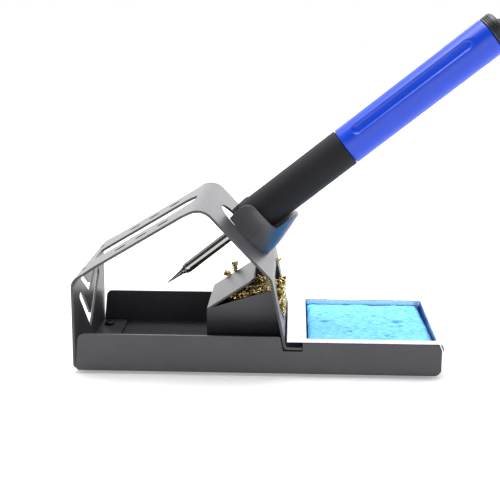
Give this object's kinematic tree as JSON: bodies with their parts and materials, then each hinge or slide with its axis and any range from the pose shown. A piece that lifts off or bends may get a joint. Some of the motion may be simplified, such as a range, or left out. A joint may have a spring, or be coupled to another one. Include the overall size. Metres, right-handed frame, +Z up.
{
  "type": "soldering iron station",
  "caption": "Bent steel soldering stand with a cartridge iron resting in its cup, a brass wool box and a wet sponge in a lift-out tray.",
  "frame": {"origin": "centre of the whole object's bounding box at the surface it stands on", "axes": "+X along the base tray towards the sponge, +Y from the front flange to the back flange, +Z up"},
  "size_m": [0.2082, 0.074, 0.1686],
  "materials": {
    "painted_steel": "satin powder coat, dark grey",
    "box_steel": "satin powder coat, dark grey",
    "polished_steel": "polished stainless sheet",
    "rubber": "matt black",
    "cup_plastic": "satin dark grey",
    "screw_metal": "plated",
    "wool_brass": "bright curled turnings",
    "cellulose": "porous cellulose sponge",
    "foam": "fine-grained foam",
    "blue_plastic": "gloss blue",
    "black_plastic": "satin black",
    "board": "green circuit board",
    "spring_bronze": "spring bronze strip",
    "tip_plating": "plated soldering bit",
    "tube_steel": "polished steel tube",
    "ceramic": "off-white ceramic",
    "contact_brass": "bright contact ring"
  },
  "bodies": {
    "stand": {"base_tray": "painted_steel", "foot_pad_1": "rubber", "foot_pad_2": "rubber", "foot_pad_3": "rubber", "foot_pad_4": "rubber", "arch_bracket": "painted_steel", "arch_screw_1": "screw_metal", "arch_screw_2": "screw_metal", "holder_cup": "cup_plastic", "cup_screw_1": "screw_metal", "cup_screw_2": "screw_metal"},
    "wool_box": {"wool_box": "box_steel", "brass_wool": "wool_brass"},
    "sponge_tray": {"sponge_tray": "polished_steel"},
    "sponge": {"sponge": "cellulose"},
    "iron": {"nose_collar": "black_plastic", "inner_barrel": "black_plastic", "foam_grip": "foam", "handle_shell": "blue_plastic", "contact_block": "black_plastic", "contact_spring_1": "spring_bronze", "contact_spring_2": "spring_bronze", "contact_spring_3": "spring_bronze", "handle_board": "board", "tilt_switch": "screw_metal", "end_cap": "black_plastic", "cable_inlet": "rubber"},
    "cartridge": {"solder_tip": "tip_plating", "cartridge_tube": "tube_steel", "heater_core": "ceramic", "cartridge_insulator": "ceramic", "contact_ring_rear": "contact_brass", "contact_ring_front": "contact_brass"}
  },
  "joints": [
    {"name": "iron_lift_out", "type": "slide", "parent": "stand", "child": "iron", "axis": [0.7848, 0, 0.6198], "range_m": [0, 0.09]},
    {"name": "cartridge_pull", "type": "slide", "parent": "iron", "child": "cartridge", "axis": [-0.7848, 0, -0.6198], "range_m": [0, 0.03]},
    {"name": "wool_box_slide", "type": "slide", "parent": "stand", "child": "wool_box", "axis": [-1, 0, 0], "range_m": [0, 0.025]},
    {"name": "sponge_tray_lift", "type": "slide", "parent": "stand", "child": "sponge_tray", "axis": [0, 0, 1], "range_m": [0, 0.025]},
    {"name": "sponge_lift", "type": "slide", "parent": "sponge_tray", "child": "sponge", "axis": [0, 0, 1], "range_m": [0, 0.02]}
  ]
}
